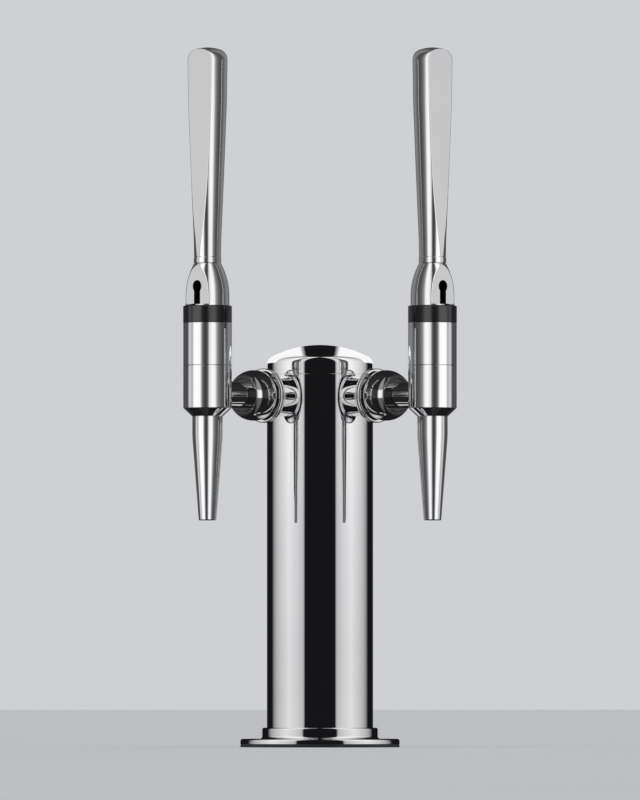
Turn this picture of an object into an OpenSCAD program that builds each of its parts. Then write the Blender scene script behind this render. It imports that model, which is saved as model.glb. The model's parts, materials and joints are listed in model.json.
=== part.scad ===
// Two-faucet draught tower: a round column with a crowned cap and two stout faucets on
// horizontal shanks. Millimetres, +Z up. The origin is on the column's axis, in the plane
// of the gasket's underside, and the front is -Y.

/* [Column] */
// Outside diameter of the column tube
column_d = 76.2; // [76:0.1:80]
// Wall thickness of the column tube
column_wall = 1.5; // [1.2:0.1:1.8]
// Height of the column tube's top edge
column_top = 267.5; // [267:0.5:275]
// Height of the crown of the cap
cap_top = 289; // [288:0.5:300]
// Radius of the cap's shallow crown
cap_crown_r = 75; // [65:1:90]
// Radius of the cap's shoulder
cap_shoulder_r = 5.8; // [4:0.1:8]

/* [Base] */
// Outside diameter of the base flange
flange_d = 114.3; // [112:0.1:125]
// Thickness of the flange plate
flange_t = 4; // [3:0.5:6]
// Height of the raised collar around the column, above the plate
flange_collar_h = 8; // [5:0.5:12]
// Thickness of the base gasket
gasket_t = 2; // [1:0.5:3]
// Diameter of the circle that the mounting holes lie on
bolt_circle_d = 95.25; // [94:0.05:98]
// Diameter of a mounting hole
bolt_hole_d = 5.5; // [4.5:0.1:6.5]
// Number of mounting holes
bolt_count = 4; // [3, 4, 6]

/* [Faucet placement] */
// Height of the shanks' axes
shank_z = 251.6; // [250:0.1:252]
// Distance from the column's axis to a faucet's axis
reach = 113.3; // [111:0.1:118]
// Angle between the front and each shank
spread_angle = 45; // [42:1:75]

/* [Faucet body] */
// Radius of the faucet body
body_r = 17.3; // [17:0.1:17.4]
// Radius of the black bonnet ring
ring_r = 17.4; // [17.4:0.05:18.5]
// Radius of the spout's straight part
spout_r = 10.8; // [10.4:0.1:11.2]
// Radius of the spout's tip
spout_tip_r = 6.3; // [5.5:0.1:7.2]
// Length of the spout below the body
spout_len = 74.2; // [66:0.1:90]

/* [Lever and handle] */
// Radius of the lever hub
hub_r = 15.6; // [15.4:0.05:15.7]
// Distance of the front flat of the hub from the faucet's axis
hub_flat = 10.5; // [9.8:0.1:11.5]
// Radius of the handle at its foot
handle_foot_r = 9.6; // [9:0.1:9.8]
// Radius of the handle at its widest place
handle_wide_r = 14.5; // [13:0.1:15.5]
// Distance of the handle's front and back flats from its axis
handle_flat = 8.2; // [7.5:0.1:9.5]
// Length of the handle above its ferrule
handle_len = 149.5; // [120:0.5:180]

/* [Hidden] */
$fn = 96;
eps = 0.05;            // overlap that keeps cuts from ending on a face
gap = 0.1;             // clearance between pieces that are assembled into each other

column_r = column_d / 2;
bore_r = column_r - column_wall;
plate_top = gasket_t + flange_t;

// Along a shank, distances from the column's axis
shank_r = 11.1;        // 7/8 in shank
shank_bore_r = 3.5;
spigot_r = 6.9;
spigot_end = 18;
spigot_root = 24.5;
locknut_in = 25.5;
locknut_flats = 28.6;
washer_in = 31;
saddle_r = 14.5;
collar_neck_r = 14.4;
collar_bead_r = 19.4;
collar_out = 59;
bead_w = 2.5;
nut_ball_r = 18.2;
nut_centre = 67;
nut_in = 59.2;
nut_out = 78;
nut_web = 3;           // inner wall of the coupling nut, behind the shank's lip
tail_r = 12;           // threaded tail of the faucet
lip_in = 62.4;
lip_out = 64.6;
washer_out = 66;       // outer face of the coupling washer, where the faucet's tail starts
neck_r = 9.3;

// The tail tube that turns down inside the column, 5/16 in outside
tube_r = 3.97;
tube_bore_r = 2.7;
bend_r = 5;
tube_drop = 46;
bend_at = 13;
elbow_flange_in = 15.3;
elbow_flange_out = 16.8;
elbow_flange_r = 6.2;
tail_nut_in = 13.9;
tail_nut_out = 24;
tail_nut_flats = 16.6;

// Heights in a faucet, above the shank's axis
body_low = -15.6;
chamfer_top = -9.7;
seam_z = 20.6;
thread_top = 27.6;
guide_h = 9;
step_z = 44.9;
post_top = 48.9;       // top of the pivot post's disc
body_top = 51;
ring_top = 63.3;
pivot_z = 76.8;
spout_straight = 14;   // straight part of the spout, below the body
socket_top = -7;
chamber_top = -6;
pocket_low = -3.6;
port_z = 6.5;

// Radii and places inside a faucet
chamfer_r = 11.3;
thread_r = 14.1;
recess_r = 15.4;
socket_r = 9.2;
chamber_r = 8;
seal_groove_r = 7.7;
valve_y = 7.7;         // the valve stands behind the faucet's axis, towards the column
pocket_r = 5.2;
sleeve_bore_r = 3.56;
spool_r = 3.5;
spool_low = 3;
spool_top = 20;
seal_z = 15.6;         // the seal sits in the middle of its groove
seal_t = 0.5;
rod_r = 1.7;
passage_y = -4.6;
passage_r = 3;
port_r = 2;

// The lever's pivot, and the pin behind it that lifts the valve stem
ball_r = 20.6;         // the hub's underside is a ball about the pivot
socket_gap = 0.4;
ball_floor = -19.2;
hub_waist = -7;        // where the hub's straight side ends, from the pivot
hub_top = 16.7;
hub_curve_r = 49;
slot_w = 6.2;
keyhole_r = 4.4;
pin_r = 1.5;
eye_r = 3.2;
blade_t = 5.2;
pin_fit = 0.03;        // a pressed pin in the hub
running_fit = 0.06;    // the pivot pin in the post
drive_y = 9;
drive_r = 1.1;
drive_play = 0.3;
ferrule_h = 4.3;
ferrule_r = 9.8;
stud_r = 4.76;         // 3/8 in stud
stud_foot = 8.2;
stud_len = 30;
flat_rise = 57;         // height above the handle's foot where its flats turn upright
handle_root = hub_top + ferrule_h;
handle_top = handle_root + handle_len;

CHROME = [0.83, 0.84, 0.86];
STEEL = [0.68, 0.70, 0.72];
BRASS = [0.76, 0.62, 0.35];
BLACK = [0.07, 0.07, 0.08];
RUBBER = [0.13, 0.13, 0.14];
FIBRE = [0.72, 0.69, 0.62];
FOAM = [0.25, 0.26, 0.28];

COMMON = ["column_tube", "base_flange", "base_gasket", "top_cap", "insulation_sleeve"];
SHANK_PARTS = ["shank", "shank_collar", "saddle_washer", "shank_locknut", "tail_elbow",
    "tail_washer", "tail_nut", "coupling_nut", "coupling_washer"];
FAUCET_PARTS = ["faucet_body", "upper_body", "bonnet_ring", "pivot_post", "stem_guide",
    "valve_sleeve", "restrictor_disc", "spout", "spout_o_ring", "flow_straightener"];
MOVING_PARTS = ["lever_hub", "pivot_pin", "drive_pin", "handle_ferrule", "handle_stud",
    "handle", "valve_stem", "stem_seal"];
SIDES = ["left", "right"];

// Points along an arc of radius r about [x, y], from angle a to angle b
function arc(x, y, r, a, b, steps = 10) =
    [for (i = [0:steps]) let (t = a + (b - a) * i / steps) [x + r * cos(t), y + r * sin(t)]];

// Outline of a crowned end, from the axis out to its straight side: a shallow crown
// that runs tangent into a rounder shoulder
function crown(side, top, crown_r, shoulder_r) =
    let (inset = side - shoulder_r,
        far = crown_r - shoulder_r,
        turn = asin(inset / far),
        low = top - crown_r + sqrt(far * far - inset * inset))
    concat(arc(0, top - crown_r, crown_r, 90, 90 - turn),
        arc(inset, low, shoulder_r, 90 - turn, 0));

// A solid turned from an outline of [radius, height] points
module turned(outline) {
    rotate_extrude() polygon(outline);
}

module tube(outer, inner, low, high) {
    translate([0, 0, low]) difference() {
        cylinder(r = outer, h = high - low);
        translate([0, 0, -1]) cylinder(r = inner, h = high - low + 2);
    }
}

// A hexagonal nut blank with two flats level
module hex(flats, low, high) {
    translate([0, 0, low]) cylinder(d = flats / cos(30), h = high - low, $fn = 6);
}

module bolt_holes(low, high) {
    for (i = [0:bolt_count - 1])
        rotate([0, 0, 45 + i * 360 / bolt_count]) translate([bolt_circle_d / 2, 0, low])
            cylinder(d = bolt_hole_d, h = high - low, $fn = 32);
}

// Carries a piece from the frame where its own outward direction is -Y to its side
module on_side(side) {
    mirror([side == "right" ? 1 : 0, 0, 0]) rotate([0, 0, -spread_angle]) children();
}

// The shank's frame: +Z runs outwards along the shank from the column's axis, +Y is up
module along_shank() {
    translate([0, 0, shank_z]) rotate([90, 0, 0]) children();
}

// The faucet's frame: the faucet's axis is Z, and 0 is the shank's height
module at_faucet() {
    translate([0, -reach, shank_z]) children();
}

// The lever's frame: as the faucet's, with 0 at the pivot
module at_pivot() {
    at_faucet() translate([0, 0, pivot_z]) children();
}

// Lays a shape drawn in X and Y into the plane of Y and Z, centred on X = 0
module across(width) {
    rotate([90, 0, 90]) translate([0, 0, -width / 2]) linear_extrude(width) children();
}

module pin_x(radius, from, to) {
    translate([from, 0, 0]) rotate([0, 90, 0]) cylinder(r = radius, h = to - from, $fn = 48);
}

module pin_y(radius, from, to) {
    translate([0, from, 0]) rotate([-90, 0, 0]) cylinder(r = radius, h = to - from, $fn = 48);
}

// Column, cap and base

module column_tube() {
    color(CHROME) difference() {
        tube(column_r, bore_r, gasket_t, column_top);
        for (side = SIDES)
            on_side(side) along_shank() translate([0, 0, bore_r - 6])
                cylinder(r = shank_r + 0.3, h = 12);
    }
}

module top_cap() {
    skirt_r = bore_r - gap;
    skirt_in = skirt_r - 1.8;
    skirt_low = column_top - 10;
    roof = column_top + 2.5;
    color(CHROME) difference() {
        turned(concat(crown(column_r, cap_top, cap_crown_r, cap_shoulder_r),
            [[column_r, column_top], [skirt_r, column_top], [skirt_r, skirt_low],
            [skirt_in, skirt_low], [skirt_in, roof], [0, roof]]));
        for (side = SIDES)
            on_side(side) along_shank() translate([0, 0, 25])
                cylinder(r = saddle_r + 1, h = bore_r - 25);
    }
}

module base_flange() {
    collar_r = column_r + 3.4;
    color(CHROME) difference() {
        turned(concat([[column_r + gap, gasket_t], [flange_d / 2, gasket_t]],
            arc(flange_d / 2 - 1.5, plate_top - 1.5, 1.5, 0, 90, 5),
            arc(collar_r + 2, plate_top + 2, 2, 270, 180, 5),
            arc(collar_r - 1.2, plate_top + flange_collar_h - 1.2, 1.2, 0, 90, 4),
            [[column_r + gap, plate_top + flange_collar_h]]));
        bolt_holes(gasket_t - 1, plate_top + 1);
    }
}

module base_gasket() {
    color(RUBBER) difference() {
        tube(flange_d / 2, bore_r, 0, gasket_t);
        bolt_holes(-1, gasket_t + 1);
    }
}

module insulation_sleeve() {
    color(FOAM) tube(bore_r - gap, 22, 16, 200);
}

// Shank assembly, from the column outwards

module shank() {
    color(BRASS) along_shank() difference() {
        union() {
            translate([0, 0, spigot_end]) cylinder(r = spigot_r, h = 10);
            translate([0, 0, spigot_root]) cylinder(r = shank_r, h = lip_in - spigot_root + eps);
            translate([0, 0, lip_in]) cylinder(r = tail_r - gap, h = lip_out - lip_in);
        }
        translate([0, 0, spigot_end - 1]) cylinder(r = shank_bore_r, h = lip_out);
    }
}

module shank_collar() {
    bead = bead_w / 2;
    step = collar_out - 2 * bead_w;
    color(CHROME) difference() {
        along_shank() turned(concat([[shank_r + gap, bore_r - 14], [collar_neck_r, bore_r - 14]],
            [[collar_neck_r, step - 2]],
            arc(collar_neck_r + 2, step - 2, 2, 180, 90, 5),
            arc(collar_bead_r - bead, step + bead, bead, 270, 450, 8),
            arc(collar_bead_r - bead, step + 3 * bead, bead, 270, 450, 8),
            [[shank_r + gap, collar_out]]));
        translate([0, 0, shank_z - 30]) cylinder(r = column_r + gap / 2, h = 60);
    }
}

module saddle_washer() {
    color(STEEL) intersection() {
        along_shank() tube(saddle_r, shank_r + gap, washer_in, column_r);
        translate([0, 0, shank_z - 30]) cylinder(r = bore_r - gap, h = 60);
    }
}

module shank_locknut() {
    color(BRASS) along_shank() difference() {
        hex(locknut_flats, locknut_in, washer_in);
        translate([0, 0, locknut_in - 1]) cylinder(r = shank_r + gap, h = 10);
    }
}

// The elbow's tube, or its bore, as a solid of the given radius
module elbow_run(radius, out, down) {
    translate([0, -out, 0]) pin_y(radius, 0, out - bend_at);
    translate([0, -bend_at, -bend_r]) rotate([90, 0, 90])
        rotate_extrude(angle = 90) translate([bend_r, 0]) circle(r = radius);
    translate([0, bend_r - bend_at, -bend_r - down]) cylinder(r = radius, h = down);
}

module tail_elbow() {
    color(STEEL) translate([0, 0, shank_z]) difference() {
        union() {
            elbow_run(tube_r, elbow_flange_out, tube_drop - bend_r);
            translate([0, -elbow_flange_out, 0])
                pin_y(elbow_flange_r, 0, elbow_flange_out - elbow_flange_in);
        }
        elbow_run(tube_bore_r, elbow_flange_out + 1, tube_drop);
    }
}

module tail_washer() {
    color(FIBRE) along_shank() tube(elbow_flange_r, shank_bore_r, elbow_flange_out, spigot_end);
}

module tail_nut() {
    color(BRASS) along_shank() difference() {
        hex(tail_nut_flats, tail_nut_in, tail_nut_out);
        translate([0, 0, tail_nut_in - 1]) cylinder(r = tube_r + gap, h = 10);
        translate([0, 0, elbow_flange_in - gap]) cylinder(r = spigot_r + gap, h = 20);
    }
}

module coupling_nut() {
    reach_in = nut_in - nut_centre;
    reach_out = nut_out - nut_centre;
    color(CHROME) along_shank() difference() {
        turned(concat([[0, nut_in]],
            arc(0, nut_centre, nut_ball_r, asin(reach_in / nut_ball_r),
                asin(reach_out / nut_ball_r), 24),
            [[0, nut_out]]));
        translate([0, 0, nut_in - 1]) cylinder(r = shank_r + gap, h = 10);
        translate([0, 0, nut_in + nut_web]) cylinder(r = tail_r + gap, h = 30);
        // Holes for a pin spanner, above, below and behind
        for (turn = [90, 180, 270])
            translate([0, 0, nut_centre]) rotate([0, 0, turn])
                pin_x(1.9, nut_ball_r - 3, nut_ball_r + 1);
    }
}

module coupling_washer() {
    color(RUBBER) along_shank() tube(tail_r - gap, 4.5, lip_out, washer_out);
}

// Faucet, fixed pieces

module faucet_body() {
    tail_end = reach - washer_out;
    thread_end = reach - nut_out;
    color(CHROME) at_faucet() difference() {
        union() {
            turned([[0, body_low], [chamfer_r, body_low], [body_r, chamfer_top],
                [body_r, seam_z - 0.4], [body_r - 0.4, seam_z], [thread_r - gap, seam_z],
                [thread_r - gap, thread_top], [0, thread_top]]);
            pin_y(neck_r, 0, thread_end + 4);
            pin_y(tail_r, thread_end, tail_end);
        }
        // Socket for the spout, with a chamber above the restrictor disc
        translate([0, 0, body_low - 1]) cylinder(r = socket_r, h = socket_top - body_low + 1);
        translate([0, 0, socket_top - 1]) cylinder(r = chamber_r, h = chamber_top - socket_top + 1);
        // Inlet from the shank, pocket for the valve, and the passage down to the spout
        pin_y(shank_bore_r, valve_y, tail_end + 1);
        translate([0, valve_y, pocket_low]) cylinder(r = pocket_r, h = 40);
        translate([0, 0, port_z]) pin_y(port_r, passage_y, valve_y);
        translate([0, passage_y, chamber_top - 1]) cylinder(r = passage_r, h = 20, $fn = 48);
    }
}

module upper_body() {
    color(CHROME) at_faucet() turned([[thread_r, seam_z], [body_r - 0.4, seam_z],
        [body_r, seam_z + 0.4], [body_r, body_top], [recess_r, body_top],
        [recess_r, step_z], [thread_r, step_z]]);
}

module bonnet_ring() {
    corner = 1.6;
    mouth_r = 13.4;
    color(BLACK) difference() {
        at_faucet() turned(concat([[mouth_r, post_top], [recess_r - gap, post_top],
            [recess_r - gap, body_top], [ring_r, body_top]],
            arc(ring_r - corner, ring_top - corner, corner, 0, 60, 6),
            [[hub_r - 0.5, ring_top], [mouth_r, ring_top]]));
        at_pivot() sphere(r = ball_r + socket_gap);
    }
}

module pivot_post() {
    color(STEEL) difference() {
        union() {
            at_faucet() translate([0, 0, step_z])
                cylinder(r = recess_r - gap, h = post_top - step_z);
            at_pivot() across(blade_t)
                translate([-eye_r, post_top - pivot_z - 1]) square([2 * eye_r, pivot_z - post_top + 1]);
            at_pivot() pin_x(eye_r, -blade_t / 2, blade_t / 2);
        }
        at_pivot() pin_x(pin_r + running_fit, -5, 5);
        at_faucet() translate([0, valve_y, step_z - 1]) cylinder(r = rod_r + 0.4, h = 10);
    }
}

module stem_guide() {
    color(BRASS) at_faucet() difference() {
        translate([0, 0, thread_top]) cylinder(r = thread_r - gap, h = guide_h);
        translate([0, valve_y, thread_top - 1]) cylinder(r = rod_r + 0.4, h = 20);
    }
}

module valve_sleeve() {
    color(BRASS) at_faucet() difference() {
        translate([0, valve_y, pocket_low + gap])
            cylinder(r = pocket_r - gap, h = thread_top - pocket_low - 2 * gap);
        translate([0, valve_y, pocket_low - 1]) cylinder(r = sleeve_bore_r, h = 50);
        pin_y(2.5, valve_y, 20);
        translate([0, 0, port_z]) pin_y(port_r, passage_y, valve_y);
    }
}

module restrictor_disc() {
    disc_t = 1.5;
    color(STEEL) at_faucet() translate([0, 0, socket_top - disc_t]) difference() {
        cylinder(r = socket_r - gap, h = disc_t);
        for (i = [0:4])
            rotate([0, 0, i * 72]) translate([4, 0, -1]) cylinder(r = 0.6, h = 4, $fn = 24);
    }
}

module spout() {
    spigot_top = socket_top - 1.5;
    straight_low = body_low - spout_straight;
    tip = body_low - spout_len;
    color(CHROME) at_faucet() turned(concat([[5.2, spigot_top], [5.2, tip + 51]],
        [[3.4, tip + 40], [3.4, tip]],
        arc(spout_tip_r - 0.8, tip + 0.8, 0.8, 270, 355, 4),
        [[spout_r, straight_low], [spout_r, body_low], [socket_r - gap, body_low],
        [socket_r - gap, body_low + 1], [seal_groove_r, body_low + 1],
        [seal_groove_r, body_low + 3], [socket_r - gap, body_low + 3],
        [socket_r - gap, spigot_top]]));
}

module spout_o_ring() {
    ring = 0.7;
    color(RUBBER) at_faucet() translate([0, 0, body_low + 2])
        rotate_extrude() translate([seal_groove_r + ring + 0.03, 0]) circle(r = ring, $fn = 32);
}

module flow_straightener() {
    low = body_low - 22;
    length = 16;
    vane_t = 0.6;
    color(STEEL) at_faucet() {
        tube(5.1, 4.3, low, low + length);
        intersection() {
            for (turn = [0, 90])
                rotate([0, 0, turn]) translate([-5, -vane_t / 2, low]) cube([10, vane_t, length]);
            translate([0, 0, low - 1]) cylinder(r = 4.7, h = length + 2);
        }
    }
}

// Faucet, moving pieces

// Outline of the room inside the hub for the post and the valve stem, in Y and Z
module hub_room() {
    polygon([[-25, -25], [14.6, -25], [14.6, -14], [13.7, -11], [13.7, 1], [10.5, 4.2],
        [-4.2, 4.2], [-4.2, 0], [-25, 0]]);
}

module lever_hub() {
    edge = -sqrt(ball_r * ball_r - hub_r * hub_r);
    color(CHROME) at_pivot() difference() {
        turned(concat([[0, ball_floor]],
            arc(0, 0, ball_r, asin(ball_floor / ball_r), asin(edge / ball_r), 8),
            arc(hub_r - hub_curve_r, hub_waist, hub_curve_r, 0,
                asin((hub_top - hub_waist) / hub_curve_r), 14),
            [[0, hub_top]]));
        // Front flat, with its keyhole
        translate([-30, -50, edge + 1]) cube([60, 50 - hub_flat, 50]);
        across(slot_w) hub_room();
        pin_y(keyhole_r, -20, -2);
        // Pins go in from the side away from the front
        pin_x(pin_r + pin_fit, -25, 11.1);
        translate([0, drive_y, 0]) pin_x(drive_r + pin_fit, -25, 9.1);
        translate([0, 0, stud_foot - gap]) cylinder(r = stud_r + gap / 2, h = 20);
    }
}

module pivot_pin() {
    color(STEEL) at_pivot() pin_x(pin_r, -14.5, 11);
}

module drive_pin() {
    color(STEEL) at_pivot() translate([0, drive_y, 0]) pin_x(drive_r, -11.6, 9);
}

module handle_ferrule() {
    color(STEEL) at_pivot() turned([[stud_r + gap / 2, hub_top], [ferrule_r - 0.3, hub_top],
        [ferrule_r, hub_top + 0.3], [ferrule_r, handle_root - 0.3],
        [ferrule_r - 0.3, handle_root], [stud_r + gap / 2, handle_root]]);
}

module handle_stud() {
    color(STEEL) at_pivot() translate([0, 0, stud_foot]) cylinder(r = stud_r, h = stud_len);
}

module handle() {
    socket_len = stud_foot + stud_len - handle_root + 1;
    color(CHROME) at_pivot() difference() {
        turned(concat([[0, handle_root], [handle_foot_r, handle_root]],
            [[handle_foot_r + 0.2, handle_root + 13],
            [handle_wide_r - 0.45, handle_top - 38.5]],
            crown_down(handle_wide_r, handle_top, 28, 8)));
        for (turn = [0, 180])
            rotate([0, 0, turn]) across(60) handle_side();
        translate([0, 0, handle_root - 1]) cylinder(r = stud_r + gap / 2, h = socket_len + 1);
    }
}

// What a flat takes off the handle, in Y and Z: it runs out at the handle's foot
module handle_side() {
    polygon([[handle_foot_r + 0.1, handle_root - 1], [handle_flat, handle_root + flat_rise],
        [handle_flat, handle_top + 5], [30, handle_top + 5], [30, handle_root - 1]]);
}

// The crowned end's outline from its side in to the axis
function crown_down(side, top, crown_r, shoulder_r) =
    let (up = crown(side, top, crown_r, shoulder_r))
    [for (i = [len(up) - 1:-1:0]) up[i]];

module valve_stem() {
    eye_in = 4.2;
    eye_out = 11.5;
    eye_h = 2.6;
    eye_cut = 1.6;
    eye_t = 4.6;
    slot_in = 5.5;
    slot_out = 10.4;
    slot_h = drive_r + drive_play;
    groove_w = 1.2;
    color(STEEL) difference() {
        union() {
            at_pivot() across(eye_t) polygon([[eye_in, -eye_h], [eye_out, -eye_h],
                [eye_out, eye_h - eye_cut], [eye_out - eye_cut, eye_h], [eye_in, eye_h]]);
            at_faucet() translate([0, valve_y, seal_z])
                cylinder(r = rod_r, h = pivot_z - eye_h - seal_z + 0.5, $fn = 48);
            at_faucet() translate([0, valve_y, spool_low])
                cylinder(r = spool_r, h = spool_top - spool_low);
        }
        // Level slot for the drive pin, long enough for its arc
        at_pivot() across(10) translate([slot_in, -slot_h])
            square([slot_out - slot_in, 2 * slot_h]);
        at_faucet() translate([0, valve_y, 0])
            tube(spool_r + 1, spool_r - 2.2 * seal_t, seal_z - groove_w / 2, seal_z + groove_w / 2);
    }
}

module stem_seal() {
    color(RUBBER) at_faucet() translate([0, valve_y, seal_z])
        rotate_extrude() translate([spool_r - 1.1 * seal_t, 0]) circle(r = seal_t, $fn = 32);
}

column_tube();
base_flange();
base_gasket();
top_cap();
insulation_sleeve();

for (side = SIDES) {
    on_side(side) shank();
    on_side(side) shank_collar();
    on_side(side) saddle_washer();
    on_side(side) shank_locknut();
    on_side(side) tail_elbow();
    on_side(side) tail_washer();
    on_side(side) tail_nut();
    on_side(side) coupling_nut();
    on_side(side) coupling_washer();
    on_side(side) faucet_body();
    on_side(side) upper_body();
    on_side(side) bonnet_ring();
    on_side(side) pivot_post();
    on_side(side) stem_guide();
    on_side(side) valve_sleeve();
    on_side(side) restrictor_disc();
    on_side(side) spout();
    on_side(side) spout_o_ring();
    on_side(side) flow_straightener();
    on_side(side) lever_hub();
    on_side(side) pivot_pin();
    on_side(side) drive_pin();
    on_side(side) handle_ferrule();
    on_side(side) handle_stud();
    on_side(side) handle();
    on_side(side) valve_stem();
    on_side(side) stem_seal();
}
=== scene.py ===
"""Looks of a two-faucet draught tower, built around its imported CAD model."""

import json
import math

import bmesh
import bpy
from mathutils import Matrix, Vector


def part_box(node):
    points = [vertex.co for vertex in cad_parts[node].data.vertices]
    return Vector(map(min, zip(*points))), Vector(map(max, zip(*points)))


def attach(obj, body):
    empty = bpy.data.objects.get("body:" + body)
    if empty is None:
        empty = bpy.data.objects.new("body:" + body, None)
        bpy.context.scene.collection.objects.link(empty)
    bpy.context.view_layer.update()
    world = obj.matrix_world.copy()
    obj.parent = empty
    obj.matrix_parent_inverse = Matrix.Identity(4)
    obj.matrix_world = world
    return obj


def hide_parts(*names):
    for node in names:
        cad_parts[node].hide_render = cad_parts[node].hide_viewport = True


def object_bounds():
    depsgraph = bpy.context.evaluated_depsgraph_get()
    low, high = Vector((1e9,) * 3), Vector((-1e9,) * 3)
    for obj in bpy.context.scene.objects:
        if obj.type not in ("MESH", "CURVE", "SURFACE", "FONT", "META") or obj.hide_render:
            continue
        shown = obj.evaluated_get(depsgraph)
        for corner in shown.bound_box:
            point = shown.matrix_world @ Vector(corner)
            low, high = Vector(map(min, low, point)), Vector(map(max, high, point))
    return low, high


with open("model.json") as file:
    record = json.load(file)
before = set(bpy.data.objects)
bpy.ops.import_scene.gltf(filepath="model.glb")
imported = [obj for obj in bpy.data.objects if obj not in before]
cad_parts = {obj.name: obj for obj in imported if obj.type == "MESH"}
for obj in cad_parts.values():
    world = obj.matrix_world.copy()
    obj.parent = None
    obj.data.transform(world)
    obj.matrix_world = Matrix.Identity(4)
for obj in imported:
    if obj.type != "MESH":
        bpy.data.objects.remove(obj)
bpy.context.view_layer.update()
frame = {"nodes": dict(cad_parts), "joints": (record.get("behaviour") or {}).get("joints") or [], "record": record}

# Driving values. Outlines are in millimetres, and meshes are in metres in the row frame.
MM = 0.001
TURNS = 256            # steps round a turned piece
SOFT_EDGE = 0.3        # radius of a polished edge, in millimetres
SHARP_CORNER = math.radians(32)
TINY = 1e-6            # lengths below this count as nothing
SIDES = {"left": -1, "right": 1}
CAMERA_AT = Vector((0, -9, 0.035))
FRAME_HEIGHT = 0.575   # height of the view at the tower, in metres
SENSOR = 36            # width of the camera's sensor, in millimetres

JOINTS = {j["name"]: j for j in frame["joints"]}
SLOT_OF = {s["node"]: s["material_slot"] for s in frame["record"]["subparts"]}


# Sizes read from the frame, in millimetres

def low(node):
    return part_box(node)[0] / MM


def high(node):
    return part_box(node)[1] / MM


def radius(node):
    """The outer radius of a node that is turned about a vertical axis."""
    return (high(node).x - low(node).x) / 2


PIVOT = Vector(JOINTS["right_lever_tilt"]["pos_m"]) / MM
REACH = math.hypot(PIVOT.x, PIVOT.y)
SPREAD = math.atan2(PIVOT.x, -PIVOT.y)
SHANK_Z = (low("left_coupling_nut").z + high("left_coupling_nut").z) / 2
NUT_BALL = (high("left_coupling_nut").z - low("left_coupling_nut").z) / 2
COLUMN_R = radius("column_tube")
BODY_R = radius("left_upper_body")


# Mesh making

def arc(x, y, r, start, end, steps=12):
    """Points on an arc about (x, y), with angles in degrees."""
    turns = [math.radians(start + (end - start) * i / steps) for i in range(steps + 1)]
    return [(x + r * math.cos(t), y + r * math.sin(t)) for t in turns]


def crown(side, top, crown_r, shoulder_r):
    """A crowned end, from the axis to its side: a shallow crown, tangent to its shoulder."""
    inset = side - shoulder_r
    far = crown_r - shoulder_r
    turn = math.degrees(math.asin(inset / far))
    base = top - crown_r + math.sqrt(far * far - inset * inset)
    return (arc(0, top - crown_r, crown_r, 90, 90 - turn, 24)
            + arc(inset, base, shoulder_r, 90 - turn, 0, 24)[1:])


def eased(outline, size=SOFT_EDGE, steps=4):
    """The closed outline with its corners rounded, except on the axis and where it runs on."""
    out = []
    for i, here in enumerate(outline):
        here = Vector(here)
        back = Vector(outline[i - 1]) - here
        on = Vector(outline[(i + 1) % len(outline)]) - here
        if here.x < TINY or min(back.length, on.length) < TINY:
            out.append(tuple(here))
            continue
        half = back.angle(on) / 2
        if half > math.radians(80):
            out.append(tuple(here))
            continue
        leg = min(size / math.tan(half), back.length * 0.45, on.length * 0.45)
        start = here + back.normalized() * leg
        end = here + on.normalized() * leg
        for k in range(steps + 1):
            t = k / steps
            out.append(tuple(start * (1 - t) ** 2 + here * 2 * t * (1 - t) + end * t * t))
    return out


def made(name, bm):
    """An object of the mesh, with its faces turned outwards."""
    bmesh.ops.recalc_face_normals(bm, faces=bm.faces)
    mesh = bpy.data.meshes.new(name)
    bm.to_mesh(mesh)
    bm.free()
    piece = bpy.data.objects.new(name, mesh)
    bpy.context.scene.collection.objects.link(piece)
    return piece


def ring_of(bm, r, z, turns, section):
    """The points that one point of an outline sweeps, or a single one on the axis."""
    if r < TINY:
        return [bm.verts.new((0, 0, z * MM))]
    ring = []
    for k in range(turns):
        a = 2 * math.pi * k / turns
        out = section(a, r, z) if section else r
        ring.append(bm.verts.new((out * math.cos(a) * MM, out * math.sin(a) * MM, z * MM)))
    return ring


def bridge(bm, one, two):
    """Faces between neighbouring rings, unless both are single points."""
    turns = max(len(one), len(two))
    if turns == 1:
        return
    for k in range(turns):
        m = (k + 1) % turns
        if len(one) == 1:
            bm.faces.new((one[0], two[m], two[k]))
        elif len(two) == 1:
            bm.faces.new((one[k], one[m], two[0]))
        else:
            bm.faces.new((one[k], one[m], two[m], two[k]))


def lathe(name, outline, turns=TURNS, section=None):
    """A closed mesh turned about Z from a closed outline of (radius, height) points.

    section(angle, radius, height), where given, changes the radius at each point.
    """
    bm = bmesh.new()
    rings = [ring_of(bm, r, z, turns, section) for r, z in outline]
    for i, ring in enumerate(rings):
        bridge(bm, ring, rings[(i + 1) % len(rings)])
    return made(name, bm)


def rod(r, start, end, turns=96):
    """A plain cylinder along Z, used as a cutting or joining tool."""
    return lathe("tool", [(0, start), (r, start), (r, end), (0, end)], turns)


def along_x(tool):
    """Turns a tool made along Z to run along X."""
    tool.data.transform(Matrix.Rotation(math.pi / 2, 4, "Y"))
    return tool


def along_y(tool):
    """Turns a tool made along Z to run along Y, towards the column."""
    tool.data.transform(Matrix.Rotation(-math.pi / 2, 4, "X"))
    return tool


def moved(tool, x=0, y=0, z=0):
    tool.data.transform(Matrix.Translation(Vector((x, y, z)) * MM))
    return tool


def slab(outline, width):
    """A prism of an outline in Y and Z, centred on X = 0."""
    bm = bmesh.new()
    walls = [[bm.verts.new((x * width / 2 * MM, y * MM, z * MM)) for y, z in outline]
             for x in (-1, 1)]
    for wall in walls:
        bm.faces.new(wall)
    for k in range(len(outline)):
        m = (k + 1) % len(outline)
        bm.faces.new((walls[0][k], walls[0][m], walls[1][m], walls[1][k]))
    return made("tool", bm)


def applied(piece):
    """Replaces the piece's mesh by what its modifiers make of it."""
    graph = bpy.context.evaluated_depsgraph_get()
    mesh = bpy.data.meshes.new_from_object(piece.evaluated_get(graph), depsgraph=graph)
    piece.modifiers.clear()
    mesh.name = piece.name
    piece.data = mesh


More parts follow.
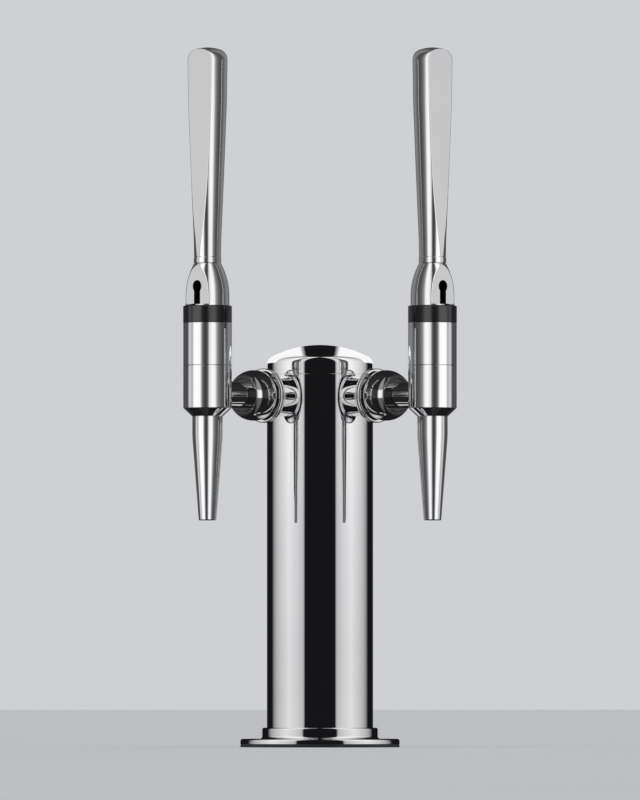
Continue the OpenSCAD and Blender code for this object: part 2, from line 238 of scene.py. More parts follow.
def cut(piece, *tools):
    """Cuts each tool out of the piece, and deletes the tool."""
    for tool in tools:
        step = piece.modifiers.new("step", "BOOLEAN")
        step.operation = "DIFFERENCE"
        step.solver = "EXACT"
        step.object = tool
        applied(piece)
        bpy.data.objects.remove(tool)
    return piece


def finished(piece, name, nodes, body, material, painted_shade_faces=()):
    """Names, paints and smooths a piece, and puts it on its body in place of its CAD nodes.

    The last argument says, for each face, whether it is a wall inside a slot or hole. Those faces get a second
    metal, rougher because such a cut wall is unpolished, and painted near-black as the shade in there.
    """
    piece.name = name
    piece.data.name = name
    piece.data.materials.clear()
    piece.data.materials.append(material)
    if painted_shade_faces:
        piece.data.materials.append(MATERIALS["painted_shade_wall"])
    for face in piece.data.polygons:
        face.material_index = 0
    # Walls inside the hub's slot and keyhole take the second material, painted near-black as shade.
    for face, shade_painted in zip(piece.data.polygons, painted_shade_faces):
        face.material_index = int(shade_painted)
    piece.data.shade_smooth()
    piece.data.set_sharp_from_angle(angle=SHARP_CORNER)
    weight = piece.modifiers.new("normals", "WEIGHTED_NORMAL")
    weight.mode = "FACE_AREA"
    weight.keep_sharp = True
    applied(piece)
    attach(piece, body)
    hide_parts(*nodes)
    return piece


def to_side(piece, side, frame_matrix):
    """Carries a piece from its own frame to its side of the tower."""
    flip = Matrix.Diagonal((SIDES[side], 1, 1, 1))
    turn = Matrix.Rotation(SPREAD, 4, "Z")
    piece.data.transform(flip @ turn @ frame_matrix)
    if SIDES[side] < 0:
        piece.data.flip_normals()
    return piece


# Z runs outwards along a shank from the column's axis
ALONG_SHANK = Matrix.Translation((0, 0, SHANK_Z * MM)) @ Matrix.Rotation(math.pi / 2, 4, "X")
# Z is the faucet's axis, with 0 at the shank's height, and Y runs towards the column
AT_FAUCET = Matrix.Translation(Vector((0, -REACH, SHANK_Z)) * MM)
AT_PIVOT = Matrix.Translation(Vector((0, -REACH, PIVOT.z)) * MM)


# Materials

class Tree:
    """The node tree of a material or world, with short calls to add and link nodes."""

    def __init__(self, owner, cleared=True):
        owner.use_nodes = True
        self.tree = owner.node_tree
        if cleared:
            self.tree.nodes.clear()

    def add(self, kind, **values):
        node = self.tree.nodes.new(kind)
        for key, value in values.items():
            setattr(node, key, value)
        return node

    def link(self, output, target):
        self.tree.links.new(output, target)

    def math(self, operation, *values):
        node = self.add("ShaderNodeMath", operation=operation)
        for socket, value in zip(node.inputs, values):
            if isinstance(value, (int, float)):
                socket.default_value = value
            else:
                self.link(value, socket)
        return node.outputs["Value"]

    def background(self, colour):
        node = self.add("ShaderNodeBackground")
        node.inputs["Color"].default_value = (*colour, 1)
        return node.outputs["Background"]

    def ramp(self, value, span, points):
        """Grey that follows an angle, from (degrees, brightness) points over +-span degrees."""
        to_unit = self.add("ShaderNodeMapRange")
        to_unit.inputs["From Min"].default_value = math.radians(-span)
        to_unit.inputs["From Max"].default_value = math.radians(span)
        self.link(value, to_unit.inputs["Value"])
        node = self.add("ShaderNodeValToRGB")
        elements = node.color_ramp.elements
        while len(elements) < len(points):
            elements.new(0.5)
        for element, (angle, level) in zip(elements, points):
            element.position = (angle + span) / (2 * span)
            element.color = (level, level, level, 1)
        self.link(to_unit.outputs["Result"], node.inputs["Fac"])
        return node.outputs["Color"]


class Paint(Tree):
    """A material built round its Principled shader."""

    def __init__(self, name):
        self.material = bpy.data.materials.new(name)
        super().__init__(self.material, cleared=False)
        self.shader = self.tree.nodes["Principled BSDF"]
        self.place = self.add("ShaderNodeTexCoord").outputs["Object"]

    def noise(self, scale, detail=3, stretch=(1, 1, 1), turn=(0, 0, 0)):
        """Noise in object space, of about `scale` cells in a metre."""
        mapping = self.add("ShaderNodeMapping")
        mapping.inputs["Scale"].default_value = stretch
        mapping.inputs["Rotation"].default_value = turn
        self.link(self.place, mapping.inputs["Vector"])
        noise = self.add("ShaderNodeTexNoise")
        noise.inputs["Scale"].default_value = scale
        noise.inputs["Detail"].default_value = detail
        self.link(mapping.outputs["Vector"], noise.inputs["Vector"])
        return noise.outputs["Fac"]

    def spread(self, value, start, end, to_start, to_end):
        """Maps a value from one range to another, clamped."""
        node = self.add("ShaderNodeMapRange")
        node.inputs["From Min"].default_value = start
        node.inputs["From Max"].default_value = end
        node.inputs["To Min"].default_value = to_start
        node.inputs["To Max"].default_value = to_end
        self.link(value, node.inputs["Value"])
        return node.outputs["Result"]

    def tint(self, value, dark, light):
        """Base colour between dark, where value is 0, and light, where it is 1."""
        node = self.add("ShaderNodeMix", data_type="RGBA")
        node.inputs["A"].default_value = (*dark, 1)
        node.inputs["B"].default_value = (*light, 1)
        self.link(value, node.inputs["Factor"])
        self.link(node.outputs["Result"], self.shader.inputs["Base Color"])

    def bump(self, height, distance, strength=1.0):
        node = self.add("ShaderNodeBump")
        node.inputs["Distance"].default_value = distance
        node.inputs["Strength"].default_value = strength
        self.link(height, node.inputs["Height"])
        self.link(node.outputs["Normal"], self.shader.inputs["Normal"])


def polished_metal(name, dark, light, rough, smear, scratch):
    """Polished metal: smears from wiping, fine wiping scratches, and a hair of waviness."""
    n = Paint(name)
    n.shader.inputs["Metallic"].default_value = 1
    wiped = n.noise(26, 4, (1, 1, 0.35))
    one_way = n.noise(210, 2, (1, 1, 26), (0.3, 0.1, 0))
    other_way = n.noise(210, 2, (1, 1, 18), (-0.5, 0.35, 0.4))
    scratched = n.math("MAXIMUM", n.spread(one_way, 0.62, 0.8, 0, 1),
                       n.spread(other_way, 0.64, 0.82, 0, 1))
    smeared = n.spread(wiped, 0.45, 0.75, 0, smear)
    roughness = n.math("ADD", n.math("ADD", smeared, rough),
                       n.math("MULTIPLY", scratched, scratch))
    n.link(roughness, n.shader.inputs["Roughness"])
    n.tint(n.spread(n.noise(9, 3), 0.3, 0.7, 0, 1), dark, light)
    n.bump(n.noise(14, 1), 0.00002, 0.25)
    return n.material


def turned_metal(name, dark, light, rough):
    """Machined metal with the fine rings that a lathe tool leaves."""
    n = Paint(name)
    n.shader.inputs["Metallic"].default_value = 1
    rings = n.noise(300, 2, (0.08, 0.08, 12))
    n.link(n.spread(rings, 0.3, 0.7, rough * 0.7, rough * 1.4), n.shader.inputs["Roughness"])
    n.tint(n.spread(n.noise(60, 5), 0.3, 0.75, 0, 1), dark, light)
    n.bump(rings, 0.00003, 0.4)
    return n.material


def moulded(name, dark, light, rough, grain, depth, ior=1.5):
    """Plastic or rubber: slightly cloudy colour, a fine grain, and handling marks."""
    n = Paint(name)
    n.shader.inputs["IOR"].default_value = ior
    n.tint(n.spread(n.noise(90, 5), 0.3, 0.8, 0, 1), dark, light)
    marks = n.noise(40, 4, (1, 1, 0.5))
    n.link(n.spread(marks, 0.3, 0.75, rough * 0.85, rough * 1.2), n.shader.inputs["Roughness"])
    n.bump(n.noise(grain, 4), depth, 0.5)
    return n.material


MATERIALS = {
    "polished_chrome": polished_metal(
        "polished_chrome", (0.86, 0.865, 0.88), (0.93, 0.935, 0.94), 0.018, 0.035, 0.05),
    "stainless_steel": turned_metal(
        "stainless_steel", (0.55, 0.55, 0.54), (0.68, 0.68, 0.67), 0.2),
    # Painted shade: near-black metal for the walls inside the hub's slot and keyhole. It is dark to stand for the
    # shade in there, not because the metal is that colour. Its higher roughness is the real unpolished cut finish.
    "painted_shade_wall": turned_metal("painted_shade_wall", (0.05, 0.05, 0.05), (0.1, 0.1, 0.1), 0.45),
    "bare_brass": turned_metal("bare_brass", (0.62, 0.44, 0.18), (0.80, 0.60, 0.28), 0.24),
    "black_acetal": moulded(
        "black_acetal", (0.006, 0.006, 0.007), (0.013, 0.013, 0.014), 0.15, 2600, 0.00001,
        ior=1.75),
    "black_rubber": moulded(
        "black_rubber", (0.018, 0.018, 0.018), (0.04, 0.04, 0.04), 0.6, 1800, 0.00006),
    "grey_foam": moulded(
        "grey_foam", (0.05, 0.05, 0.055), (0.12, 0.12, 0.13), 0.9, 700, 0.0006),
    "fibre": moulded("fibre", (0.42, 0.36, 0.27), (0.6, 0.54, 0.44), 0.8, 1500, 0.0001),
}

for node, obj in frame["nodes"].items():
    for slot in obj.material_slots:
        slot.material = MATERIALS[SLOT_OF[node]]

CHROME = MATERIALS["polished_chrome"]


# Column, cap and base

TUBE_WALL = 1.5
SHANK_HOLE_R = 11.4
SADDLE_NOTCH_R = 15.5
BOLT_CIRCLE_R = frame["record"]["mounts"][0]["dims"]["pcd_mm"] / 2
BOLT_R = frame["record"]["mounts"][0]["dims"]["hole_r_mm"]


def shank_drills(r, start, end):
    """One cylinder along each shank, in the row frame."""
    return [to_side(rod(r, start, end), side, ALONG_SHANK) for side in SIDES]


def bolt_drills(start, end):
    """One cylinder at each hole of the flange's bolt circle."""
    return [moved(rod(BOLT_R, start, end, 64), x * BOLT_CIRCLE_R * math.sqrt(0.5),
                  y * BOLT_CIRCLE_R * math.sqrt(0.5))
            for x in (-1, 1) for y in (-1, 1)]


def make_column():
    """Tube with a hole for each shank."""
    bottom, top = low("column_tube").z, high("column_tube").z
    bore = COLUMN_R - TUBE_WALL
    outline = eased([(bore, bottom), (COLUMN_R, bottom), (COLUMN_R, top), (bore, top)], 0.25)
    piece = cut(lathe("column", outline), *shank_drills(SHANK_HOLE_R, 30, 45))
    return finished(piece, "column", ["column_tube"], "tower", CHROME)


def make_cap():
    """Crowned cap whose skirt slips into the column and clears the saddle washers."""
    seam, top = high("column_tube").z, high("top_cap").z
    skirt, skirt_in, skirt_low = COLUMN_R - 1.6, COLUMN_R - 3.4, low("top_cap").z
    roof = seam + 2.5
    edge = 0.25
    rim = arc(COLUMN_R - edge, seam + edge, edge, 0, -90, 4)
    outline = (crown(COLUMN_R, top, 75, 5.8) + rim
               + [(skirt, seam), (skirt, skirt_low), (skirt_in, skirt_low),
                  (skirt_in, roof), (0, roof)])
    notches = shank_drills(SADDLE_NOTCH_R, 25, COLUMN_R - TUBE_WALL)
    piece = cut(lathe("cap", outline), *notches)
    return finished(piece, "cap", ["top_cap"], "tower", CHROME)


def make_flange():
    """Bolted plate with a short collar that the column stands in."""
    bottom, top = low("base_flange").z, high("base_flange").z
    plate = bottom + 4
    rim = radius("base_flange")
    collar = COLUMN_R + 3.4
    bore = COLUMN_R + 0.1
    outline = ([(bore, bottom + 0.3), (bore + 0.3, bottom), (rim - 0.4, bottom),
                (rim, bottom + 0.4)]
               + arc(rim - 1.5, plate - 1.5, 1.5, 0, 90)
               + arc(collar + 2, plate + 2, 2, 270, 180)
               + arc(collar - 1.2, top - 1.2, 1.2, 0, 90)
               + [(bore + 0.2, top), (bore, top - 0.2)])
    piece = cut(lathe("flange", outline), *bolt_drills(bottom - 1, plate + 1))
    return finished(piece, "flange", ["base_flange"], "tower", CHROME)


def make_gasket():
    """Rubber ring under the flange, with the same four holes."""
    rim, bore, top = radius("base_gasket"), COLUMN_R - TUBE_WALL, high("base_gasket").z
    outline = eased([(bore, 0), (rim, 0), (rim, top), (bore, top)], 0.4)
    piece = cut(lathe("gasket", outline), *bolt_drills(-1, top + 1))
    return finished(piece, "gasket", ["base_gasket"], "tower", MATERIALS["black_rubber"])


# Shank fittings, with Z outwards along the shank

NUT_OUTER = 78         # distance of the coupling nut's open end from the column's axis
SHANK_BORE = 11.2      # radius of the collar's and nut's bore, round the shank
SPANNER_HOLE_R = 1.9


def make_collar(side):
    """Neck and two beads between the column and the coupling nut, saddled to the column."""
    outer, inner, neck, bead_r = 59.0, 30, 14.4, 19.4
    half = 1.25
    fillet = 2
    step = outer - 4 * half
    outline = ([(SHANK_BORE, inner), (neck, inner), (neck, step - fillet)]
               + arc(neck + fillet, step - fillet, fillet, 180, 90)[1:]
               + arc(bead_r - half, step + half, half, -90, 90, 16)
               + arc(bead_r - half, step + 3 * half, half, -90, 90, 16)
               + [(SHANK_BORE, outer)])
    piece = to_side(lathe("collar", outline), side, ALONG_SHANK)
    cut(piece, rod(COLUMN_R + 0.05, 200, 300, TURNS))
    return finished(piece, f"{side}_collar", [f"{side}_shank_collar"], "tower", CHROME)


def make_nut(side):
    """Ball-shaped coupling nut with three holes for a pin spanner."""
    centre, inner, web, thread = 67.0, 59.2, 3.0, 12.1
    start = math.degrees(math.asin((inner - centre) / NUT_BALL))
    end = math.degrees(math.asin((NUT_OUTER - centre) / NUT_BALL))
    ball = arc(0, centre, NUT_BALL, start, end, 56)
    rim = ball[-1][0]
    outline = ([(SHANK_BORE, inner)] + ball[:-1]
               + arc(rim - 0.5, NUT_OUTER - 0.5, 0.5, 30, 90, 4)
               + [(thread + 0.4, NUT_OUTER), (thread, NUT_OUTER - 0.4),
                  (thread, inner + web), (SHANK_BORE, inner + web)])
    holes = []
    for turn in (0, 90, 270):
        hole = along_x(rod(SPANNER_HOLE_R, NUT_BALL - 3, NUT_BALL + 1, 48))
        hole.data.transform(Matrix.Rotation(math.radians(turn), 4, "Z"))
        holes.append(moved(hole, z=centre))
    piece = to_side(cut(lathe("nut", outline), *holes), side, ALONG_SHANK)
    return finished(piece, f"{side}_nut", [f"{side}_coupling_nut"], "tower", CHROME)


# Faucet, with Z on its axis and 0 at the shank's height

BODY_LOW = -15.6
CHAMFER_TOP = -9.7
EDGE = 0.45            # rounding on both sides of the seam
THREAD_TOP = high("left_valve_sleeve").z - SHANK_Z + 0.1
SEAM = low("left_upper_body").z - SHANK_Z
BODY_TOP = high("left_upper_body").z - SHANK_Z
RING_TOP = high("left_bonnet_ring").z - SHANK_Z
TAIL_END = REACH - 66  # the tail inside the coupling nut
THREAD_END = REACH - NUT_OUTER
VALVE_Y = 7.7          # the valve's axis, off the faucet's axis towards the column
BALL_R = 20.6          # the lever's ball, about its pivot
SOCKET_R = 9.2         # the body's socket for the spout
THREAD_R = 14.1        # the thread between the lower and upper body
RECESS_R = 15.4        # the upper body's recess for the ring
LINE_R = 3.5           # the way through the neck
POCKET_R = 5.2         # the valve's pocket, and the spout's bore at its top


def make_body(side):
    """Lower body with its neck and tail in one casting, and the bores inside it."""
    thread = THREAD_R - 0.1
    passage_y = -4.6
    outline = ([(0, -6), (8, -6), (8, -7), (SOCKET_R, -7), (SOCKET_R, BODY_LOW + 0.3),
                (SOCKET_R + 0.3, BODY_LOW), (10.95, BODY_LOW), (11.3, BODY_LOW + 0.25),
                (BODY_R - 0.3, CHAMFER_TOP - 0.3), (BODY_R, CHAMFER_TOP + 0.3)]
               + arc(BODY_R - EDGE, SEAM - EDGE, EDGE, 0, 90, 5)
               + [(thread, SEAM), (thread, THREAD_TOP), (0, THREAD_TOP)])
    way_in = along_y(rod(LINE_R, VALVE_Y, TAIL_END + 1))
    valve_pocket = moved(rod(POCKET_R, -3.6, 36), y=VALVE_Y)
    port = moved(along_y(rod(2, passage_y, VALVE_Y, 48)), z=6.5)
    passage = moved(rod(3, -6.5, 13, 48), y=passage_y)
    piece = cut(lathe("body", outline), way_in, valve_pocket, port, passage)
    to_side(piece, side, AT_FAUCET)
    return finished(piece, f"{side}_body", [f"{side}_faucet_body"], "tower", CHROME)


def make_neck(side):
    """The body's neck, from its wall out to the threaded tail inside the coupling nut."""
    wall, neck, tail = 13.2, 9.3, 12
    outline = [(LINE_R, wall), (neck, wall), (neck, THREAD_END), (tail - 0.4, THREAD_END),
               (tail, THREAD_END + 0.4), (tail, TAIL_END - 0.4), (tail - 0.4, TAIL_END),
               (LINE_R + 0.3, TAIL_END), (LINE_R, TAIL_END - 0.3)]
    piece = to_side(along_y(lathe("neck", outline)), side, AT_FAUCET)
    return finished(piece, f"{side}_neck", [f"{side}_faucet_body"], "tower", CHROME)


def make_sleeve(side):
    """Upper body, screwed to the lower one at the hairline seam."""
    step = low("left_pivot_post").z - SHANK_Z
    outline = ([(THREAD_R, SEAM), (BODY_R - EDGE, SEAM)]
               + arc(BODY_R - EDGE, SEAM + EDGE, EDGE, -90, 0, 5)
               + arc(BODY_R - 0.3, BODY_TOP - 0.3, 0.3, 0, 90, 4)
               + [(RECESS_R, BODY_TOP), (RECESS_R, step), (THREAD_R, step)])
    piece = to_side(lathe("sleeve", outline), side, AT_FAUCET)
    return finished(piece, f"{side}_sleeve", [f"{side}_upper_body"], "tower", CHROME)


def make_ring(side):
    """Black bonnet ring whose mouth is a socket for the lever's ball."""
    rim, spigot, bore, ball = radius(f"{side}_bonnet_ring"), RECESS_R - 0.1, 13.4, BALL_R + 0.4
    post = low(f"{side}_bonnet_ring").z - SHANK_Z
    drop = PIVOT.z - SHANK_Z
    mouth = math.sqrt(ball ** 2 - (drop - RING_TOP) ** 2)
    bottom = drop - math.sqrt(ball ** 2 - bore ** 2)
    start = math.degrees(math.atan2(RING_TOP - 0.4 - drop, mouth))
    end = math.degrees(math.atan2(bottom - drop, bore))
    outline = ([(bore, post), (spigot, post), (spigot, BODY_TOP), (rim - 0.3, BODY_TOP)]
               + arc(rim - 0.3, BODY_TOP + 0.3, 0.3, -90, 0, 4)
               + arc(rim - 0.9, RING_TOP - 0.9, 0.9, 0, 90, 10)
               + [(mouth + 0.15, RING_TOP)]
               + arc(0, drop, ball, start, end, 10))
    piece = to_side(lathe("ring", outline), side, AT_FAUCET)
    return finished(piece, f"{side}_ring", [f"{side}_bonnet_ring"], "tower",
                    MATERIALS["black_acetal"])


def make_spout(side):
    """Tapered spout, held in the body by a grooved spigot."""
    tip = low(f"{side}_spout").z - SHANK_Z
    top = high(f"{side}_spout").z - SHANK_Z
    straight, tip_r = BODY_LOW - 14, 6.3
    groove, spigot, wide = 7.7, SOCKET_R - 0.1, 10.8
    outline = ([(POCKET_R, top), (POCKET_R, tip + 51), (3.4, tip + 40), (3.4, tip + 0.4),
                (3.8, tip)]
               + arc(tip_r - 0.8, tip + 0.8, 0.8, -90, 5, 8)
               + [(wide - 0.12, straight - 2), (wide, straight + 1.4),
                  (wide, BODY_LOW - 0.3), (wide - 0.3, BODY_LOW), (spigot, BODY_LOW),
                  (spigot, BODY_LOW + 1), (groove, BODY_LOW + 1), (groove, BODY_LOW + 3),
                  (spigot, BODY_LOW + 3), (spigot, top - 0.4), (spigot - 0.4, top)])
    piece = to_side(lathe("spout", outline), side, AT_FAUCET)
    return finished(piece, f"{side}_spout_shell", [f"{side}_spout"], "tower", CHROME)


# Lever, with 0 at the pivot

HUB_TOP = high("left_lever_hub").z - PIVOT.z
HANDLE_LOW = low("left_handle").z - PIVOT.z
HANDLE_TOP = high("left_handle").z - PIVOT.z
HUB_R = 15.6
HUB_FLAT = 10.5        # distance of the hub's front flat from its axis
STUD_HOLE_R = 4.81
HANDLE_FOOT = 9.6      # radius of the handle at its foot
HANDLE_WIDE = 14.5     # radius of the handle at its crown
HANDLE_FLAT = 8.2      # distance of the handle's flats from its axis
FLAT_RISE = 57         # height above the handle's foot where its flats turn upright
CRISP = 110            # the higher, the sharper the edge where a flat meets the round


def flattened(flat, both):
    """A section function: a circle with a flat towards -Y, and +Y too where both is true.

    flat(height) is the flat's distance from the axis.
    """
    def section(angle, r, z):
        lean = -math.sin(angle)
        facing = abs(lean) if both else max(lean, 0)
        if facing < 1e-3 or r < 1:
            return r
        return (r ** -CRISP + (flat(z) / facing) ** -CRISP) ** (-1 / CRISP)
    return section


def hub_section(angle, r, z):
    """The hub's front flat, which ends in a full ball below the ring's rim."""
    full = flattened(lambda z: HUB_FLAT, False)(angle, r, z)
    blend = min(max((z + 12.9) / 0.6, 0), 1)
    return r + (full - r) * blend


def handle_flat(z):
    """The handle's flats lean in from its foot, and turn upright in a soft bend."""
    rise = (z - HANDLE_LOW) / FLAT_RISE
    tightness = 9
    bend = math.log1p(math.exp(tightness * (1 - rise))) / tightness
    return HANDLE_FLAT + (HANDLE_FOOT + 0.1 - HANDLE_FLAT) * bend


def make_hub(side):
    """Ogive hub on a ball, with a front flat, a keyhole, and room for the post inside."""
    ball, floor, straight, waist, curve = BALL_R, -19.2, HUB_R, -7.0, 49.0
    edge = -math.sqrt(ball ** 2 - straight ** 2)
    shoulder = math.sqrt(curve ** 2 - (HUB_TOP - waist) ** 2) - curve + straight
    rise = math.degrees(math.asin((HUB_TOP - waist) / curve))
    outline = ([(0, floor)]
               + arc(0, 0, ball, math.degrees(math.asin(floor / ball)),
                     math.degrees(math.asin(edge / ball)), 14)
               + [(straight, edge + 0.6), (straight, edge + 1.2), (straight, edge + 2.5)]
               + arc(straight - curve, waist, curve, 0, rise, 60)[:-1]
               + [(shoulder - 0.1, HUB_TOP - 0.15), (shoulder - 0.3, HUB_TOP), (0, HUB_TOP)])
    room = slab([(-25, -25), (14.6, -25), (14.6, -14), (13.7, -11), (13.7, 1), (10.5, 4.2),
                 (-4.2, 4.2), (-4.2, 0), (-25, 0)], 6.2)
    keyhole = along_y(rod(4.4, -20, -2))
    pivot_hole = along_x(rod(1.53, -11.1, 25, 48))
    drive_hole = moved(along_x(rod(1.13, -9.1, 25, 48)), y=9)
    stud_hole = rod(STUD_HOLE_R, 8.1, 30)
    piece = cut(lathe("hub", outline, section=hub_section), room, keyhole, pivot_hole,
                drive_hole, stud_hole)
    # The slot and keyhole walls, which get metal painted near-black as the shade inside the hub.
    painted_shade_faces = [hub_inside(face.center / MM) for face in piece.data.polygons]
    to_side(piece, side, AT_PIVOT)
    return finished(piece, f"{side}_hub", [f"{side}_lever_hub"], f"{side}_lever", CHROME,
                    painted_shade_faces)


def hub_inside(place):
    """True for a place on the machined walls of the slot and the keyhole, which are painted dark as shade."""
    return (place.z < 4.6 and place.y > 0.12 - HUB_FLAT
            and math.hypot(place.x, place.y) < 13.95)


def make_ferrule(side):
    """Washer-like band between the hub and the handle."""
    wide = 9.8
    outline = eased([(STUD_HOLE_R, HUB_TOP), (wide, HUB_TOP), (wide, HANDLE_LOW),
                     (STUD_HOLE_R, HANDLE_LOW)], 0.5)
    piece = to_side(lathe("ferrule", outline), side, AT_PIVOT)
    return finished(piece, f"{side}_ferrule", [f"{side}_handle_ferrule"], f"{side}_lever",
                    CHROME)


def bar_radius(z, shoulder):
    """The handle's radius: nearly straight at its foot, a taper, and a slight flare."""
    foot_top = HANDLE_LOW + 13
    knee = HANDLE_TOP - 38.5
    foot_gain, flare = 0.2, 0.45
    if z < foot_top:
        return HANDLE_FOOT + foot_gain * (z - HANDLE_LOW) / (foot_top - HANDLE_LOW)
    if z < knee:
        gain = HANDLE_WIDE - HANDLE_FOOT - foot_gain - flare
        return HANDLE_FOOT + foot_gain + gain * (z - foot_top) / (knee - foot_top)
    return HANDLE_WIDE - flare + flare * (z - knee) / (shoulder - knee)


def make_handle(side):
    """Tapered round bar with a long flat on its front and back, and a crowned end."""
    steps, chamfer = 90, 0.4
    top = crown(HANDLE_WIDE, HANDLE_TOP, 28, 8)
    shoulder = top[-1][1]
    bar = [(HANDLE_FOOT - chamfer, HANDLE_LOW), (HANDLE_FOOT, HANDLE_LOW + chamfer)]
    for i in range(1, steps):
        z = HANDLE_LOW + chamfer + (shoulder - HANDLE_LOW - chamfer) * i / steps
        bar.append((bar_radius(z, shoulder), z))
    outline = [(0, HANDLE_LOW)] + bar + top[::-1]
    piece = lathe("handle", outline, 384, flattened(handle_flat, True))
    cut(piece, rod(STUD_HOLE_R, HANDLE_LOW - 1, 39.2))
    to_side(piece, side, AT_PIVOT)
    return finished(piece, f"{side}_grip", [f"{side}_handle"], f"{side}_lever", CHROME)


# Studio. Lights are (azimuth, brightness) and (elevation, share) pairs, in degrees.

COLUMN_STOPS = [(-180, 0.0), (-127, 0.0), (-115, 0.36), (-102, 0.55), (-71, 0.82), (-50, 0.68),
                (-36, 0.52), (-33, 0.0), (33, 0.0), (36, 0.52), (50, 0.68), (71, 0.82),
                (102, 0.55), (115, 0.36), (127, 0.0), (180, 0.0)]
COLUMN_HEIGHTS = [(-90, 0.02), (-62, 0.03), (-50, 0.7), (-5, 0.8), (3, 1.0), (60, 1.0),
                  (90, 0.9)]
CROWN_STOPS = [(-84, 0.0), (-78, 1.0), (-11, 1.0), (-9, 0.0), (9, 0.0), (11, 1.0), (78, 1.0),
               (84, 0.0)]
CROWN_HEIGHTS = [(-90, 0.0), (20, 0.0), (28, 1.0), (90, 1.0)]
LEFT_STOPS = [(-180, 0.07), (-112, 0.075), (-101, 0.10), (-97, 0.62), (-82, 0.62), (-76, 0.3),
              (-71, 0.8), (-60, 1.1), (-37, 1.05), (-25, 0.14), (-12, 0.03), (-1, 0.1),
              (8, 0.8), (22, 1.05), (33, 0.95), (44, 0.3), (58, 0.12), (72, 0.07),
              (88, 0.07), (103, 0.13), (125, 0.24), (180, 0.1)]
FAUCET_HEIGHTS = [(-90, 0.02), (-40, 0.04), (-22, 0.3), (-12, 1.0), (60, 1.0), (90, 0.9)]
NUT_STOPS = [(-180, 0.03), (-60, 0.05), (10, 0.02), (19, 0.9), (34, 1.0), (40, 0.03),
             (100, 0.06), (180, 0.03)]
NUT_HEIGHTS = [(-90, 0.05), (-14, 0.15), (-9, 1.0), (20, 1.0), (25, 0.3), (90, 0.3)]


def make_camera():
    """Camera far in front and a little above the tower's foot, aimed at its middle."""
    centre = Vector((0, 0, (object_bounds()[0][2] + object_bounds()[1][2]) / 2))
    data = bpy.data.cameras.new("camera")
    data.sensor_width = SENSOR
    data.lens = SENSOR * (centre - CAMERA_AT).length / FRAME_HEIGHT
    camera = bpy.data.objects.new("camera", data)
    camera.location = CAMERA_AT
    camera.rotation_euler = (centre - CAMERA_AT).to_track_quat("-Z", "Y").to_euler()
    bpy.context.scene.collection.objects.link(camera)
    bpy.context.scene.camera = camera


def make_world():
    """Pale studio all round, which polished metal sees as dark."""
    world = bpy.data.worlds.new("studio")
    n = Tree(world)
    mix = n.add("ShaderNodeMixShader")
    n.link(n.add("ShaderNodeLightPath").outputs["Is Glossy Ray"], mix.inputs["Fac"])
    n.link(n.background((0.62, 0.63, 0.65)), mix.inputs[1])
    n.link(n.background((0.008, 0.008, 0.009)), mix.inputs[2])
    out = n.add("ShaderNodeOutputWorld")
    n.link(mix.outputs["Shader"], out.inputs["Surface"])
    bpy.context.scene.world = world


def make_floor():
    """Wide pale floor that polished metal doesn't reflect."""
    bpy.ops.mesh.primitive_plane_add(size=60)
    floor = bpy.context.active_object
    floor.name = "floor"
    n = Paint("floor")
    n.shader.inputs["Roughness"].default_value = 0.9
    n.tint(n.spread(n.noise(1.5, 2), 0.3, 0.7, 0, 1), (0.90, 0.905, 0.91), (0.93, 0.935, 0.94))
    floor.data.materials.append(n.material)
    floor.visible_glossy = False


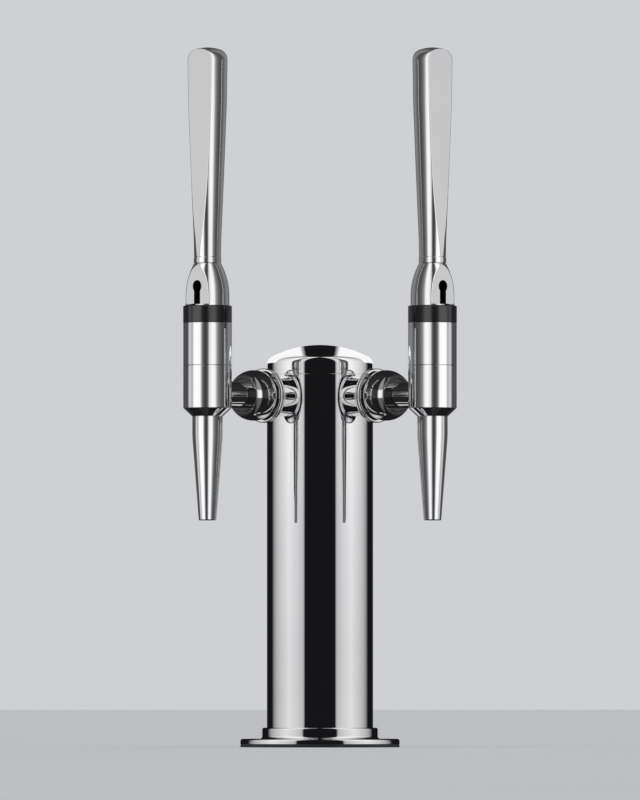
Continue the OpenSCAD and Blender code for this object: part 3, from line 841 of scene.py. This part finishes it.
def dome_material(name, size, stops, heights, strength):
    """Light that varies with azimuth and elevation, on a shell that is otherwise clear."""
    material = bpy.data.materials.new(name)
    material.cycles.emission_sampling = "NONE"
    n = Tree(material)
    place = n.add("ShaderNodeSeparateXYZ")
    n.link(n.add("ShaderNodeTexCoord").outputs["Object"], place.inputs["Vector"])
    to_front = n.math("MULTIPLY", place.outputs["Y"], -1)
    azimuth = n.math("ARCTAN2", place.outputs["X"], to_front)
    elevation = n.math("ARCSINE", n.math("DIVIDE", place.outputs["Z"], size))
    share = n.add("ShaderNodeVectorMath", operation="MULTIPLY")
    n.link(n.ramp(azimuth, 180, stops), share.inputs[0])
    n.link(n.ramp(elevation, 90, heights), share.inputs[1])
    glow = n.add("ShaderNodeEmission")
    glow.inputs["Strength"].default_value = strength
    n.link(share.outputs["Vector"], glow.inputs["Color"])
    both = n.add("ShaderNodeAddShader")
    n.link(glow.outputs["Emission"], both.inputs[0])
    n.link(n.add("ShaderNodeBsdfTransparent").outputs["BSDF"], both.inputs[1])
    out = n.add("ShaderNodeOutputMaterial")
    n.link(both.outputs["Shader"], out.inputs["Surface"])
    return material


def light_dome(name, size, stops, heights, receivers, strength=1.0):
    """Softboxes round the tower, as a see-through shell that lights only some pieces.

    size is the shell's radius in metres, stops are (azimuth in degrees from the front,
    brightness) pairs, positive to the right, and heights are (elevation in degrees, share
    of that brightness) pairs.
    """
    shell = [(size / MM * r, size / MM * z) for r, z in arc(0, 0, 1, -90, 90, 32)]
    dome = lathe(name, shell, 64)
    dome.location = (0, 0, 0.25)
    dome.data.materials.append(dome_material(name, size, stops, heights, strength))
    group = bpy.data.collections.new(f"{name}_lit")
    for piece in receivers:
        group.objects.link(piece)
    dome.light_linking.receiver_collection = group
    dome.visible_camera = False
    dome.visible_diffuse = False
    dome.visible_shadow = False
    return dome


def mirrored(stops):
    """The same softboxes with left and right exchanged."""
    return [(-angle, level) for angle, level in reversed(stops)]


# Assembly

column_set = [make_column(), make_cap(), make_flange(), make_gasket()]
nuts = {}
faucets = {}
for side in SIDES:
    column_set.append(make_collar(side))
    nuts[side] = [make_nut(side), make_neck(side)]
    faucets[side] = [make_body(side), make_sleeve(side), make_ring(side), make_spout(side),
                     make_hub(side), make_ferrule(side), make_handle(side)]

make_camera()
make_world()
make_floor()
light_dome("column_light", 2.0, COLUMN_STOPS, COLUMN_HEIGHTS, column_set, 1.2)
crown_light = light_dome("crown_light", 2.5, CROWN_STOPS, CROWN_HEIGHTS, [column_set[1]])
crown_light.rotation_euler.x = math.radians(-90)
light_dome("left_light", 2.1, LEFT_STOPS, FAUCET_HEIGHTS, faucets["left"])
light_dome("right_light", 2.2, mirrored(LEFT_STOPS), FAUCET_HEIGHTS, faucets["right"])
light_dome("left_nut_light", 2.3, NUT_STOPS, NUT_HEIGHTS, nuts["left"])
light_dome("right_nut_light", 2.4, mirrored(NUT_STOPS), NUT_HEIGHTS, nuts["right"])
bpy.context.scene.view_settings.view_transform = "Standard"
